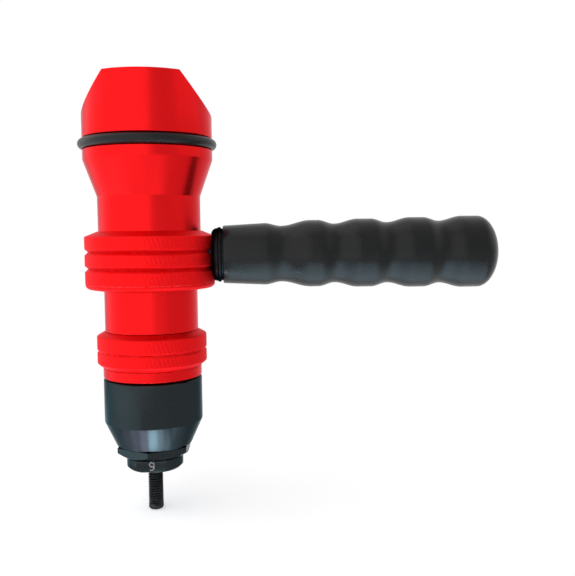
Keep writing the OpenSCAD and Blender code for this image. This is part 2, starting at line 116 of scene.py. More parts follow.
# Stroke ring, the insert with its lip, and the ring's retaining ring
LIP_Z = 36.8
LIP_R = 19.3
LIP_CHAMFER = 0.5
INSERT_R = 18.36
INSERT_TOP_Z = 47.0
RING_Z = 41.0
RING_R = 21.45
RING_FOOT_R = 19.2
RING_BAND_Z = 42.9
RING_GROOVE_Z = 47.63
RING_GROOVE_HALF = 0.61
RING_GROOVE_DEPTH = 0.6
RING_KNURL_LINES = 82
RING_KNURL_DEPTH = 0.11
RING_CROWN_Z = 53.4
RING_TOP_Z = 55.2
RING_FLANGE_Z = 51.0
RING_CLIP_Z = RING_FLANGE_Z - PLAY - CLIP_H
RING_CLIP_R = 18.16

# Body, and the pin hole through it
SPIGOT_Z = 48.0
SPIGOT_R = 16.96
SLEEVE_Z = RING_TOP_Z + PLAY
SLEEVE_R = 18.2
NECK_Z = 90.3
NECK_R = 19.9
NECK_TOP_Z = 107.6
NECK_TOP_ROUND = 0.8
HEAD_Z = 121.8
HEAD_ROUND = 1.2
HEAD_R = 25.0
HEAD_TOP_Z = 125.8
HEAD_TOP_ROUND = 0.5
TAIL_ROOM_Z = 61.2
PULLER_BORE_R = 12.01
PIN_R = 2.0
PIN_Z = 82.0
PIN_CUT_L = 40.0

# Thrust bearing and drive shaft
RACE_R = 15.0
RACE_BORE_R = 8.0
RACE_Z = 110.0
UPPER_RACE_Z = 116.5
SCREW_Z = 72.0
SCREW_R = 7.0
SCREW_CHAMFER = 1.0
FLANGE_Z = 119.0
FLANGE_TOP_Z = 124.0
JOURNAL_R = 9.0
DRIVE_TOP_Z = 152.2
DRIVE_EDGE = 0.15
EDGE_BREAK = 0.5
SOCKET_W = 9.6
SOCKET_DEPTH = 14.0

# Cap and O-ring
CAP_THREAD_R = 20.0
CAP_THREAD_Z = 117.0
CEILING_Z = 125.9
CAP_Z = 129.8
CAP_TOP_Z = 152.75
CAP_LAND_R = 14.0
CAP_SLOPE = math.radians(52)
CAP_EDGE = 0.35
BUSH_R = 11.05
BUSH_COVER = 2.75
O_RING_R = 24.8
O_RING_Z = (HEAD_TOP_Z + CAP_Z) / 2
O_RING_CORD_R = 1.95
O_RING_LAND_R = 22.7

# Handle collar; its rounded foot hangs a little below the solid's
COLLAR_Z = 72.5
COLLAR_R = 25.25
COLLAR_TOP_Z = 94.3
COLLAR_CROWN_Z = 92.3
COLLAR_FOOT_Z = 71.45
COLLAR_FOOT_ROUND = 2.0
COLLAR_BAND_Z = 73.9
COLLAR_GROOVES_Z = (79.8, 86.3)
COLLAR_GROOVE_HALF = 1.1
COLLAR_GROOVE_DEPTH = 1.3
COLLAR_KNURL_LINES = 96
COLLAR_KNURL_DEPTH = 0.09
COLLAR_RECESS_Z = 75.5
COLLAR_CLIP_R = 20.0
COLLAR_CLIP_Z = COLLAR_RECESS_Z - PLAY - CLIP_H

# Handle base, measured along the handle from the tool's axis
HANDLE_Z = 84.7
STUD_R = 5.0
BASE_X = 21.5
BASE_R = 10.5
BASE_NECK_R = 8.0
BASE_SHOULDER_L = 2.4
BASE_SHOULDER_X = 26.4
BEAD_X = 27.2
BEAD_R = 10.45
BEAD_HALF = 0.75
BEAD_H = 0.45
WAIST_X = 28.05
WAIST_R = 10.3

# Grip
GRIP_X = 28.6
GRIP_FACE_R = 11.0
GRIP_START_R = 11.45
GRIP_LEAD = 0.5
STUB_R = 12.3
STUB_L = 16.6
GROOVE_COUNT = 4
GROOVE_PITCH = 21.4
GROOVE_DEPTH = 1.9
GROOVE_LEAD = 6.6
GROOVE_RUN = 9.5
GROOVE_X = GRIP_X + STUB_L + GROOVE_LEAD
FIRST_DEEPER = 0.3
FIRST_LONGER = 2.3
RIDGE_FIRST_R = 13.35
RIDGE_LAST_R = 14.5
DOME_L = 8.0
GRIP_END_X = 139.8
GRIP_BORE_X = 117.6

# Size number on the anvil
MARK_STROKE = 0.46
MARK_RAISED = 0.05
MARK_SUNK = 0.05
MARK_LOOP_R = 0.85
MARK_LOOP_Y = -0.72
MARK_X = 0.2
MARK_Z = 2.35


# Outlines, turned shapes and boolean steps
ON_AXIS = 1e-6


def turns(whole, steps):
    """Angles from 0 to a whole angle in even steps, with both ends."""
    return [whole * k / steps for k in range(steps + 1)]


def soften(points, radius=0.15, steps=3):
    """Rounds the corners of a closed outline of (radius, height) points.

    A third value in a point is the rounding radius of that corner. A round takes at most a share of
    each side, and a short flat follows it where the side has room.
    """
    shallow = math.radians(12)
    most, beside, flat = 0.42, 0.45, 0.2
    rounded = []
    for i, point in enumerate(points):
        corner = Vector(point[:2])
        back = Vector(points[i - 1][:2]) - corner
        ahead = Vector(points[(i + 1) % len(points)][:2]) - corner
        back_l, ahead_l = back.length, ahead.length
        back, ahead = back / back_l, ahead / ahead_l
        turn = math.pi - back.angle(ahead)
        if turn < shallow or corner.x < ON_AXIS:
            rounded.append(corner)
            continue
        want = point[2] if len(point) > 2 else radius
        half = (math.pi - turn) / 2
        tangent = min(want / math.tan(half), most * back_l, most * ahead_l)
        arc_r = tangent * math.tan(half)
        centre = corner + (back + ahead).normalized() * (arc_r / math.sin(half))
        start = corner + back * tangent - centre
        end = corner + ahead * tangent - centre
        if back_l * beside - tangent > flat:
            rounded.append(corner + back * (tangent + flat))
        for step in range(steps + 1):
            rounded.append(centre + start.slerp(end, step / steps).normalized() * arc_r)
        if ahead_l * beside - tangent > flat:
            rounded.append(corner + ahead * (tangent + flat))
    return rounded


def join_rings(bm, rings):
    """Joins rings of points by faces, and the last to the first; a ring may be a single point."""
    count = max(len(ring) for ring in rings)
    for i, low in enumerate(rings):
        high = rings[(i + 1) % len(rings)]
        if len(low) == 1 and len(high) == 1:
            continue
        for k in range(count):
            n = (k + 1) % count
            corners = (low[k % len(low)], low[n % len(low)], high[n % len(high)], high[k % len(high)])
            bm.faces.new(list(dict.fromkeys(corners)))


def lathe(points, segments=192, shape=None):
    """Closed turned mesh about Z; shape(radius, angle, index) may change a radius."""
    bm = bmesh.new()
    rings = []
    for index, (radius, height) in enumerate(points):
        if radius < ON_AXIS:
            rings.append([bm.verts.new((0, 0, height))])
            continue
        ring = []
        for k in range(segments):
            a = FULL_TURN * k / segments
            r = shape(radius, a, index) if shape else radius
            ring.append(bm.verts.new((r * math.cos(a), r * math.sin(a), height)))
        rings.append(ring)
    join_rings(bm, rings)
    return bm


def along_handle(bm):
    """Lays a turned mesh along the handle's axis."""
    turn = Matrix.Translation((0, 0, HANDLE_Z)) @ Matrix.Rotation(QUARTER_TURN, 4, "Y")
    bmesh.ops.transform(bm, matrix=turn, verts=bm.verts)
    return bm


def block(size, matrix=Matrix.Identity(4)):
    """Box about the origin, moved by a matrix."""
    bm = bmesh.new()
    bmesh.ops.create_cube(bm, size=1, matrix=matrix @ Matrix.Diagonal((*size, 1)))
    return bm


def rod(radius, z0, z1, matrix=Matrix.Identity(4)):
    """Cylinder about Z, moved by a matrix."""
    bm = lathe([(0, z0), (radius, z0), (radius, z1), (0, z1)], 96)
    bmesh.ops.transform(bm, matrix=matrix, verts=bm.verts)
    return bm


def combined(bm, operation, *tools):
    """Result of boolean steps on closed meshes."""
    made = []

    def temporary(source):
        bmesh.ops.recalc_face_normals(source, faces=source.faces)
        mesh = bpy.data.meshes.new("step")
        source.to_mesh(mesh)
        source.free()
        step = bpy.data.objects.new("step", mesh)
        scene.collection.objects.link(step)
        made.append(step)
        return step

    base = temporary(bm)
    for tool in tools:
        modifier = base.modifiers.new("step", "BOOLEAN")
        modifier.operation = operation
        modifier.solver = "EXACT"
        modifier.object = temporary(tool)
    bpy.context.view_layer.update()
    shape = base.evaluated_get(bpy.context.evaluated_depsgraph_get())
    result = bmesh.new()
    result.from_mesh(shape.to_mesh())
    for step in made:
        mesh = step.data
        bpy.data.objects.remove(step)
        bpy.data.meshes.remove(mesh)
    return result


def bevelled(bm, width, segments=2):
    """Breaks the sharp edges of a mesh."""
    sharp_angle = math.radians(25)
    bmesh.ops.remove_doubles(bm, verts=bm.verts, dist=1e-5)
    bmesh.ops.dissolve_limit(bm, angle_limit=math.radians(0.4), verts=bm.verts, edges=bm.edges)
    sharp = [edge for edge in bm.edges if edge.is_manifold and edge.calc_face_angle(0) > sharp_angle]
    bmesh.ops.bevel(bm, geom=sharp, offset=width, segments=segments, profile=0.5, affect="EDGES",
                    clamp_overlap=True)
    return bm


def new_piece(name, bm, material, body, slot, *replaced):
    """Turns a mesh in millimetres into a finished piece that rides on a body."""
    bmesh.ops.recalc_face_normals(bm, faces=bm.faces)
    mesh = bpy.data.meshes.new(name)
    bm.to_mesh(mesh)
    bm.free()
    mesh.transform(Matrix.Scale(MM, 4))
    mesh.materials.append(material)
    for polygon in mesh.polygons:
        polygon.use_smooth = True
    mesh.set_sharp_from_angle(angle=math.radians(38))
    piece = bpy.data.objects.new(name, mesh)
    scene.collection.objects.link(piece)
    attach(piece, body)
    if replaced:
        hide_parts(*replaced)


# Shader nodes, with the span of the noise, the clouds in the gloss and edges of wear and painted highlight
GRAIN_SPAN = (0.3, 0.7)
CLOUD_SCALE = 55.0
CLOUD_GLOSS = 0.03
WEAR_AND_HIGHLIGHT_REACH = 0.4
WEAR_AND_HIGHLIGHT_SCALE = 420.0
WEAR_AND_HIGHLIGHT_MOST = 0.7


def new_material(name):
    """Material with its node tree and its surface shader."""
    material = bpy.data.materials.new(name)
    material.use_nodes = True
    tree = material.node_tree
    return material, tree, tree.nodes["Principled BSDF"]


def add(tree, kind, **values):
    """Adds a node; each value goes to the input of that name, or else to the setting."""
    node = tree.nodes.new(kind)
    for key, value in values.items():
        if key in node.inputs:
            node.inputs[key].default_value = value
        else:
            setattr(node, key, value)
    return node


def maths(tree, operation, first, second):
    """Output of a math node; the second value may be a plain number."""
    node = add(tree, "ShaderNodeMath", operation=operation)
    tree.links.new(first, node.inputs[0])
    if isinstance(second, float):
        node.inputs[1].default_value = second
    else:
        tree.links.new(second, node.inputs[1])
    return node.outputs["Value"]


def noise(tree, scale, detail, stretch=(1, 1, 1)):
    """Noise in the piece's own space, squeezed by the stretch along each axis."""
    place = add(tree, "ShaderNodeTexCoord")
    mapping = add(tree, "ShaderNodeMapping", Scale=stretch)
    grain = add(tree, "ShaderNodeTexNoise", Scale=scale, Detail=detail)
    tree.links.new(place.outputs["Object"], mapping.inputs["Vector"])
    tree.links.new(mapping.outputs["Vector"], grain.inputs["Vector"])
    return grain.outputs["Fac"]


def span(tree, value, low, high, source=GRAIN_SPAN, curve="LINEAR"):
    """Maps a value from a source span to the span from low to high."""
    ramp = add(tree, "ShaderNodeMapRange", interpolation_type=curve)
    ramp.inputs["From Min"].default_value = source[0]
    ramp.inputs["From Max"].default_value = source[1]
    ramp.inputs["To Min"].default_value = low
    ramp.inputs["To Max"].default_value = high
    tree.links.new(value, ramp.inputs["Value"])
    return ramp.outputs["Result"]


def colours(tree, value, dark, light):
    """Ramp from a dark to a light colour."""
    ramp = add(tree, "ShaderNodeValToRGB")
    for element, position, colour in zip(ramp.color_ramp.elements, GRAIN_SPAN, (dark, light)):
        element.position = position
        element.color = (*colour, 1)
    tree.links.new(value, ramp.inputs["Fac"])
    return ramp.outputs["Color"]


def wear_and_highlight_edges(tree, colour, wear_and_highlight):
    """Mixes a lighter colour in at the edges, in patches: wear, and on red pieces a painted highlight."""
    shape = add(tree, "ShaderNodeNewGeometry")
    round_edge = add(tree, "ShaderNodeBevel", samples=6, Radius=WEAR_AND_HIGHLIGHT_REACH * MM)
    agree = add(tree, "ShaderNodeVectorMath", operation="DOT_PRODUCT")
    tree.links.new(round_edge.outputs["Normal"], agree.inputs[0])
    tree.links.new(shape.outputs["Normal"], agree.inputs[1])
    rim = span(tree, agree.outputs["Value"], 1.0, 0.0, (0.86, 0.985))
    patch = span(tree, noise(tree, WEAR_AND_HIGHLIGHT_SCALE, 4.0), 0.0, WEAR_AND_HIGHLIGHT_MOST, (0.42, 0.62))
    mixed = add(tree, "ShaderNodeMix", data_type="RGBA")
    tree.links.new(maths(tree, "MULTIPLY", rim, patch), mixed.inputs["Factor"])
    tree.links.new(colour, mixed.inputs["A"])
    mixed.inputs["B"].default_value = (*wear_and_highlight, 1)
    return mixed.outputs["Result"]


def finish(name, dark, light, rough, metal, grain, relief, specular=0.5, stretch=(1, 1, 1),
           edge=(1, 1, 1), wear_and_highlight=None):
    """Material with a fine grain in its colour, gloss and relief, a cloudy gloss and edges partly worn,
    partly painted highlight.

    grain is the scale of the fine noise, and relief the strength of its bumps and their height.
    """
    material, tree, surface = new_material(name)
    fine = noise(tree, grain, 5.0, stretch)
    colour = colours(tree, fine, dark, light)
    cloud = span(tree, noise(tree, CLOUD_SCALE, 3.0), -CLOUD_GLOSS, CLOUD_GLOSS)
    gloss = maths(tree, "ADD", span(tree, fine, *rough), cloud)
    if wear_and_highlight:
        colour = wear_and_highlight_edges(tree, colour, wear_and_highlight)
    bumps = add(tree, "ShaderNodeBump", Strength=relief[0], Distance=relief[1] * MM)
    tree.links.new(fine, bumps.inputs["Height"])
    tree.links.new(bumps.outputs["Normal"], surface.inputs["Normal"])
    tree.links.new(colour, surface.inputs["Base Color"])
    tree.links.new(gloss, surface.inputs["Roughness"])
    surface.inputs["Metallic"].default_value = metal
    surface.inputs["Specular IOR Level"].default_value = specular
    surface.inputs["Specular Tint"].default_value = (*edge, 1)
    return material


# Materials
# The pinkish edge colour of the two red finishes is a painted edge highlight as well as wear.
red = finish(
    "red_anodised", (0.56, 0.007, 0.008), (0.63, 0.008, 0.010), rough=(0.25, 0.31), metal=1.0, grain=900.0,
    relief=(0.05, 0.04), stretch=(1, 1, 9), edge=(1.0, 0.7, 0.74), wear_and_highlight=(0.72, 0.22, 0.24))
red_knurl = finish(
    "red_knurled", (0.60, 0.007, 0.008), (0.72, 0.008, 0.010), rough=(0.45, 0.55), metal=1.0, grain=1400.0,
    relief=(0.06, 0.04), edge=(1.0, 0.7, 0.74), wear_and_highlight=(0.74, 0.20, 0.22))
black = finish(
    "black_steel", (0.0155, 0.019, 0.021), (0.025, 0.0305, 0.033), rough=(0.17, 0.24), metal=1.0,
    grain=1200.0, relief=(0.04, 0.03), stretch=(1, 1, 6), edge=(0.5, 0.56, 0.58), wear_and_highlight=(0.06, 0.066, 0.07))
thread_black = finish(
    "black_thread", (0.024, 0.027, 0.029), (0.046, 0.052, 0.055), rough=(0.24, 0.36), metal=1.0,
    grain=1500.0, relief=(0.06, 0.04), edge=(0.3, 0.33, 0.34), wear_and_highlight=(0.16, 0.17, 0.175))
base_black = finish(
    "black_base", (0.007, 0.0074, 0.0082), (0.013, 0.0137, 0.015), rough=(0.34, 0.44), metal=1.0,
    grain=1200.0, relief=(0.05, 0.03), edge=(0.3, 0.31, 0.34), wear_and_highlight=(0.016, 0.016, 0.018))
rubber = finish(
    "black_rubber", (0.004, 0.004, 0.0044), (0.007, 0.007, 0.0075), rough=(0.30, 0.40), metal=0.0,
    grain=1800.0, relief=(0.08, 0.03), specular=0.18)
grip_black = finish(
    "black_grip", (0.0018, 0.002, 0.0022), (0.0036, 0.004, 0.0044), rough=(0.24, 0.32), metal=0.0,
    grain=1500.0, relief=(0.7, 0.12), specular=0.2)
steel = finish(
    "bright_steel", (0.42, 0.42, 0.43), (0.56, 0.56, 0.57), rough=(0.22, 0.34), metal=1.0, grain=900.0,
    relief=(0.05, 0.03))
tool_steel = finish(
    "tool_steel", (0.24, 0.24, 0.25), (0.36, 0.36, 0.37), rough=(0.26, 0.40), metal=1.0, grain=800.0,
    relief=(0.06, 0.04))
bronze = finish(
    "bronze", (0.46, 0.27, 0.09), (0.58, 0.36, 0.14), rough=(0.26, 0.38), metal=1.0, grain=800.0,
    relief=(0.05, 0.03))
mark = finish(
    "size_mark", (0.19, 0.175, 0.18), (0.29, 0.265, 0.27), rough=(0.5, 0.6), metal=0.0, grain=3000.0,
    relief=(0.05, 0.02))

SLOT_MATERIALS = {
    "red_anodised": red, "black_steel": black, "bright_steel": steel, "tool_steel": tool_steel,
    "bronze": bronze, "black_rubber": rubber, "black_grip": grip_black,
}
for entry in frame["record"]["subparts"]:
    node_mesh = nodes[entry["node"]].data
    node_mesh.materials.clear()
    node_mesh.materials.append(SLOT_MATERIALS[entry["material_slot"]])


# Body, cap and O-ring


def clip_groove(radius, z):
    """Cutter for the groove of a retaining ring."""
    floor_r = radius - CLIP_DEPTH
    low, high = z - RUN, z + CLIP_H + RUN
    return lathe([(floor_r, low), (CLIP_CUT_R, low), (CLIP_CUT_R, high), (floor_r, high)])


def make_body():
    """Red body with its bores, key ways, pin hole and two grooves."""
    bore_r = TAIL_R + RUN
    outline = [
        (bore_r, SPIGOT_Z), (SPIGOT_R, SPIGOT_Z), (SPIGOT_R, SLEEVE_Z), (SLEEVE_R, SLEEVE_Z),
        (SLEEVE_R, NECK_Z), (NECK_R, NECK_Z), (NECK_R, NECK_TOP_Z, NECK_TOP_ROUND),
        (HEAD_R, HEAD_Z, HEAD_ROUND), (HEAD_R, HEAD_TOP_Z, HEAD_TOP_ROUND),
        (CAP_THREAD_R + SEAT, HEAD_TOP_Z), (CAP_THREAD_R + SEAT, CAP_THREAD_Z),
        (RACE_R + SEAT, CAP_THREAD_Z), (RACE_R + SEAT, RACE_Z), (PULLER_BORE_R, RACE_Z),
        (PULLER_BORE_R, TAIL_ROOM_Z), (bore_r, TAIL_ROOM_Z)]
    way_r = TAIL_R + KEY_PROUD + PLAY
    way_z = (INSERT_TOP_Z + TAIL_ROOM_Z) / 2
    key_ways = block((2 * way_r, KEY_W + 2 * PLAY, TAIL_ROOM_Z - INSERT_TOP_Z),
                     Matrix.Translation((0, 0, way_z)))
    across = Matrix.Translation((0, 0, PIN_Z)) @ Matrix.Rotation(QUARTER_TURN, 4, "X")
    pin_hole = rod(PIN_R + SEAT, -PIN_CUT_L / 2, PIN_CUT_L / 2, across)
    body = combined(lathe(soften(outline)), "DIFFERENCE", key_ways, pin_hole,
                    clip_groove(SPIGOT_R, RING_CLIP_Z), clip_groove(SLEEVE_R, COLLAR_CLIP_Z))
    new_piece("body_shell", body, red, "housing", "red_anodised", "main_body")


def make_cap():
    """Cap with two slanted cuts."""
    bore_r = RACE_R + ROOM
    bush_top_z = CAP_TOP_Z - BUSH_COVER
    outline = [
        (bore_r, CAP_THREAD_Z), (CAP_THREAD_R, CAP_THREAD_Z), (CAP_THREAD_R, HEAD_TOP_Z),
        (O_RING_LAND_R, HEAD_TOP_Z), (O_RING_LAND_R, CAP_Z), (HEAD_R - EDGE_BREAK, CAP_Z),
        (HEAD_R, CAP_Z + EDGE_BREAK), (HEAD_R, CAP_TOP_Z), (JOURNAL_R + ROOM, CAP_TOP_Z),
        (JOURNAL_R + ROOM, bush_top_z), (BUSH_R + SEAT, bush_top_z), (BUSH_R + SEAT, CEILING_Z),
        (bore_r, CEILING_Z)]
    cut = 100
    cuts = []
    for side in (-1, 1):
        edge = Matrix.Translation((side * CAP_LAND_R, 0, CAP_TOP_Z))
        slope = edge @ Matrix.Rotation(side * CAP_SLOPE, 4, "Y")
        cuts.append(block((cut, cut, cut), slope @ Matrix.Translation((0, 0, cut / 2))))
    cap = bevelled(combined(lathe(outline), "DIFFERENCE", *cuts), CAP_EDGE, 3)
    new_piece("cap_shell", cap, red, "housing", "red_anodised", "end_cap")


def make_o_ring():
    """Rubber ring between the cap and the body."""
    cord = [(O_RING_R + O_RING_CORD_R * math.cos(a), O_RING_Z + O_RING_CORD_R * math.sin(a))
            for a in turns(FULL_TURN, 40)[:-1]]
    new_piece("cap_o_ring", lathe(cord, 224), rubber, "housing", "black_rubber", "body_o_ring")


# Knurled collar and ring, made from rows of (radius, height, share of the knurl's depth)


def knurled(rows, lines, depth):
    """Turned mesh whose rows carry slanted ridges with flat crests."""
    segments_per_line, lean, steepness = 6, 0.2, 1.5

    def shape(radius, a, index):
        height, share = rows[index][1:]
        if share == 0:
            return radius
        phase = lines * a / FULL_TURN + height * lean
        wave = abs((phase % 1) * 2 - 1)
        ridge = min(1, wave * steepness)
        return radius - depth * share * (1 - ridge)

    return lathe([row[:2] for row in rows], lines * segments_per_line, shape)


def band(radius, z0, z1, count):
    """Rows of a knurled band, whose ridges fade out at its rounded rims."""
    rim, shoulder = 0.12, 0.03
    fade_z, fade, margin = 0.1, 0.4, 0.3
    rows = [(radius - rim, z0, 0), (radius - shoulder, z0 + fade_z, fade)]
    for k in range(count + 1):
        rows.append((radius, z0 + margin + (z1 - z0 - 2 * margin) * k / count, 1))
    return rows + [(radius - shoulder, z1 - fade_z, fade), (radius - rim, z1, 0)]


def plain(points):
    """Rows without a knurl."""
    return [(radius, height, 0) for radius, height in points]


def groove(radius, z, depth, blunt_h, blunt_half):
    """Rows at the bottom of a V groove, which is blunt over a small height and half width."""
    flank_r = radius - depth + blunt_h
    return plain([(flank_r, z - blunt_half), (radius - depth, z), (flank_r, z + blunt_half)])


def base_shoulder(gap):
    """Neck and rounded shoulder of the handle base, larger by a gap for its seat."""
    rise = BASE_R - BASE_NECK_R
    points = [(BASE_NECK_R + gap, BASE_X)]
    for a in turns(QUARTER_TURN, 14):
        points.append((BASE_NECK_R + rise * math.sin(a) + gap,
                       BASE_SHOULDER_X - BASE_SHOULDER_L * math.cos(a) - gap))
    return points


def make_collar():
    """Knurled collar with a rounded foot, two V grooves and the seat of the handle base."""
    recess_r = COLLAR_CLIP_R + ROOM
    foot_r = COLLAR_R - COLLAR_FOOT_ROUND
    lip_w, lip_h = 0.3, 0.25
    rows = plain([
        (recess_r, COLLAR_Z), (recess_r, COLLAR_FOOT_Z + lip_h), (recess_r + lip_w, COLLAR_FOOT_Z)])
    for a in turns(QUARTER_TURN, 10)[:-1]:
        rows += plain([(foot_r + COLLAR_FOOT_ROUND * math.sin(a),
                        COLLAR_BAND_Z - COLLAR_FOOT_ROUND * math.cos(a))])
    band_z = COLLAR_BAND_Z
    for groove_z, count in zip(COLLAR_GROOVES_Z, (13, 12)):
        rows += band(COLLAR_R, band_z, groove_z - COLLAR_GROOVE_HALF, count)
        rows += groove(COLLAR_R, groove_z, COLLAR_GROOVE_DEPTH, 0.15, 0.15)
        band_z = groove_z + COLLAR_GROOVE_HALF
    rows += band(COLLAR_R, band_z, COLLAR_CROWN_Z, 14)
    neck_z = NECK_Z - PLAY
    rows += plain([
        (COLLAR_R - 0.5, COLLAR_CROWN_Z + 0.18), (NECK_R + 0.6, COLLAR_TOP_Z - 0.1),
        (NECK_R + 0.3, COLLAR_TOP_Z), (NECK_R + RUN, COLLAR_TOP_Z), (NECK_R + RUN, neck_z),
        (SLEEVE_R + RUN, neck_z), (SLEEVE_R + RUN, COLLAR_RECESS_Z), (recess_r, COLLAR_RECESS_Z)])
    seat_end, hole_from, hole_to = 40, 10, 30
    seat = [(0, BASE_X)] + base_shoulder(SEAT) + [(BASE_R + SEAT, seat_end), (0, seat_end)]
    stud_hole = rod(STUD_R + SEAT, hole_from, hole_to)
    collar = combined(knurled(rows, COLLAR_KNURL_LINES, COLLAR_KNURL_DEPTH), "DIFFERENCE",
                      along_handle(lathe(seat, 144)), along_handle(stud_hole))
    new_piece("collar_knurled", collar, red_knurl, "handle", "red_anodised", "handle_collar")


def make_ring():
    """Knurled stroke ring with one shallow groove."""
    bore_r = INSERT_R + SEAT
    clip_room_r = RING_CLIP_R + ROOM
    rows = plain([(bore_r, RING_Z), (RING_FOOT_R - 0.15, RING_Z), (RING_FOOT_R + 0.05, RING_Z + 0.08),
                  (RING_R - 0.35, RING_BAND_Z - 0.28)])
    rows += band(RING_R, RING_BAND_Z, RING_GROOVE_Z - RING_GROOVE_HALF, 11)
    rows += groove(RING_R, RING_GROOVE_Z, RING_GROOVE_DEPTH, 0.1, 0.13)
    rows += band(RING_R, RING_GROOVE_Z + RING_GROOVE_HALF, RING_CROWN_Z, 14)
    rows += plain([
        (RING_R - 0.4, RING_CROWN_Z + 0.25), (SLEEVE_R + 0.3, RING_TOP_Z - 0.12), (SLEEVE_R, RING_TOP_Z),
        (SPIGOT_R + RUN, RING_TOP_Z), (SPIGOT_R + RUN, RING_FLANGE_Z), (clip_room_r, RING_FLANGE_Z),
        (clip_room_r, INSERT_TOP_Z), (bore_r, INSERT_TOP_Z)])
    ring = knurled(rows, RING_KNURL_LINES, RING_KNURL_DEPTH)
    new_piece("ring_knurled", ring, red_knurl, "ring", "red_anodised", "stroke_ring")


def make_ring_lip():
    """Insert of the stroke ring, of which the lip shows below the ring."""
    bore_r = TAIL_R + RUN
    outline = [
        (bore_r, LIP_Z), (LIP_R - LIP_CHAMFER, LIP_Z), (LIP_R, LIP_Z + LIP_CHAMFER), (LIP_R, RING_Z),
        (INSERT_R, RING_Z), (INSERT_R, INSERT_TOP_Z), (bore_r, INSERT_TOP_Z)]
    new_piece("ring_lip", lathe(soften(outline, 0.2)), red, "ring", "red_anodised", "ring_insert")


# Nose housing, lock nut, anvil and mandrel


def make_nose():
    """Nose housing with the seats of its two keys."""
    bore_r = ANVIL_SHANK_R + SEAT
    outline = [
        (bore_r, NOSE_Z), (NOSE_TIP_R, NOSE_Z, NOSE_TIP_ROUND), (NOSE_R, NOSE_CYL_Z, NOSE_CYL_ROUND),
        (NOSE_R, NOSE_TOP_Z - NOSE_CHAMFER), (NOSE_R - NOSE_CHAMFER, NOSE_TOP_Z), (TAIL_R, NOSE_TOP_Z),
        (TAIL_R, TAIL_TOP_Z), (TAIL_BORE_R, TAIL_TOP_Z), (TAIL_BORE_R, NOSE_FLOOR_Z),
        (bore_r, NOSE_FLOOR_Z)]
    cut = 4
    seat = (cut, KEY_W + 2 * SEAT, KEY_L + 2 * SEAT)
    seat_x = TAIL_R - KEY_DEPTH - SEAT + cut / 2
    seat_z = KEY_Z + KEY_L / 2
    seats = [block(seat, Matrix.Translation((side * seat_x, 0, seat_z))) for side in (-1, 1)]
    nose = combined(lathe(soften(outline, 0.2)), "DIFFERENCE", *seats)
    new_piece("nose_shell", nose, black, "nose", "black_steel", "nose_housing")


def make_lock_nut():
    """Hexagon nut with slightly cut corners and a bevelled foot."""
    bore_r = ANVIL_SHANK_R + SEAT
    corner_r = 2 * NUT_FLAT_R / math.sqrt(3) - NUT_CORNER_CUT
    foot_r = NUT_FLAT_R - NUT_BEVEL
    along_side = (0, 1.2, 3, 8, 15, 22, 30, 38, 45, 52, 57, 58.8)
    sections = []
    for degrees in [60 * side + step for side in range(6) for step in along_side]:
        full = min(NUT_FLAT_R / math.cos(math.radians(degrees % 60 - 30)), corner_r)
        slope_z = NUT_Z + (full - foot_r) * math.tan(NUT_BEVEL_ANGLE)
        section = [(bore_r, NUT_Z), (foot_r - NUT_EDGE, NUT_Z), (foot_r + 0.1, NUT_Z + 0.07),
                   (full, slope_z), (full, NOSE_Z - NUT_EDGE), (full - NUT_EDGE, NOSE_Z), (bore_r, NOSE_Z)]
        a = math.radians(degrees + 30) + NOSE_TURN
        sections.append([(r * math.cos(a), r * math.sin(a), z) for r, z in section])
    bm = bmesh.new()
    join_rings(bm, [[bm.verts.new(point) for point in ring] for ring in zip(*sections)])
    new_piece("lock_nut_hex", bm, black, "nose", "black_steel", "anvil_lock_nut")


def make_anvil():
    """Anvil with two spanner flats."""
    outline = [
        (0, 0), (ANVIL_R - ANVIL_BEVEL, 0), (ANVIL_R, ANVIL_BEVEL), (ANVIL_R, NUT_Z),
        (ANVIL_SHANK_R, NUT_Z), (ANVIL_SHANK_R, ANVIL_TOP_Z), (0, ANVIL_TOP_Z)]
    past, below, above = 60, -1, 21
    between_flats = block((past, ANVIL_FLATS, past), Matrix.Rotation(NOSE_TURN, 4, "Z"))
    anvil = combined(lathe(outline, 144), "INTERSECT", between_flats)
    anvil = combined(anvil, "DIFFERENCE", rod(ANVIL_BORE_R, below, above))
    new_piece("anvil_head", bevelled(anvil, ANVIL_EDGE), black, "nose", "black_steel", "anvil")


def make_mandrel():
    """Threaded mandrel with a rounded tip, a plain shank and a head."""
    thread_z = TIP_Z + TIP_ROUND
    rows = [(0, TIP_Z)]
    for a in turns(QUARTER_TURN, 8)[1:-1]:
        rows.append((MANDREL_R - TIP_ROUND + TIP_ROUND * math.sin(a), thread_z - TIP_ROUND * math.cos(a)))
    thread_from = len(rows)
    count, flank, crest = 192, 1.35, 0.12
    rows += [(MANDREL_R, thread_z + THREAD_L * k / count) for k in range(count + 1)]
    thread_to = len(rows)
    rows += [
        (MANDREL_SHANK_R, 0.0), (MANDREL_SHANK_R, MANDREL_HEAD_Z), (MANDREL_HEAD_R, MANDREL_HEAD_Z),
        (MANDREL_HEAD_R, MANDREL_TOP_Z), (0, MANDREL_TOP_Z)]

    def thread(radius, a, index):
        if not thread_from <= index < thread_to:
            return radius
        height = rows[index][1]
        wave = abs(((height / THREAD_PITCH - a / FULL_TURN) % 1) * 2 - 1)
        cut = THREAD_DEPTH * max(0.0, min(1.0, (1 - wave) * flank - crest))
        return radius - cut * min(1.0, (height - thread_z) / THREAD_RUN_IN)

    new_piece("mandrel_threaded", lathe(rows, 72, thread), thread_black, "puller", "black_steel", "mandrel")


# Handle and drive


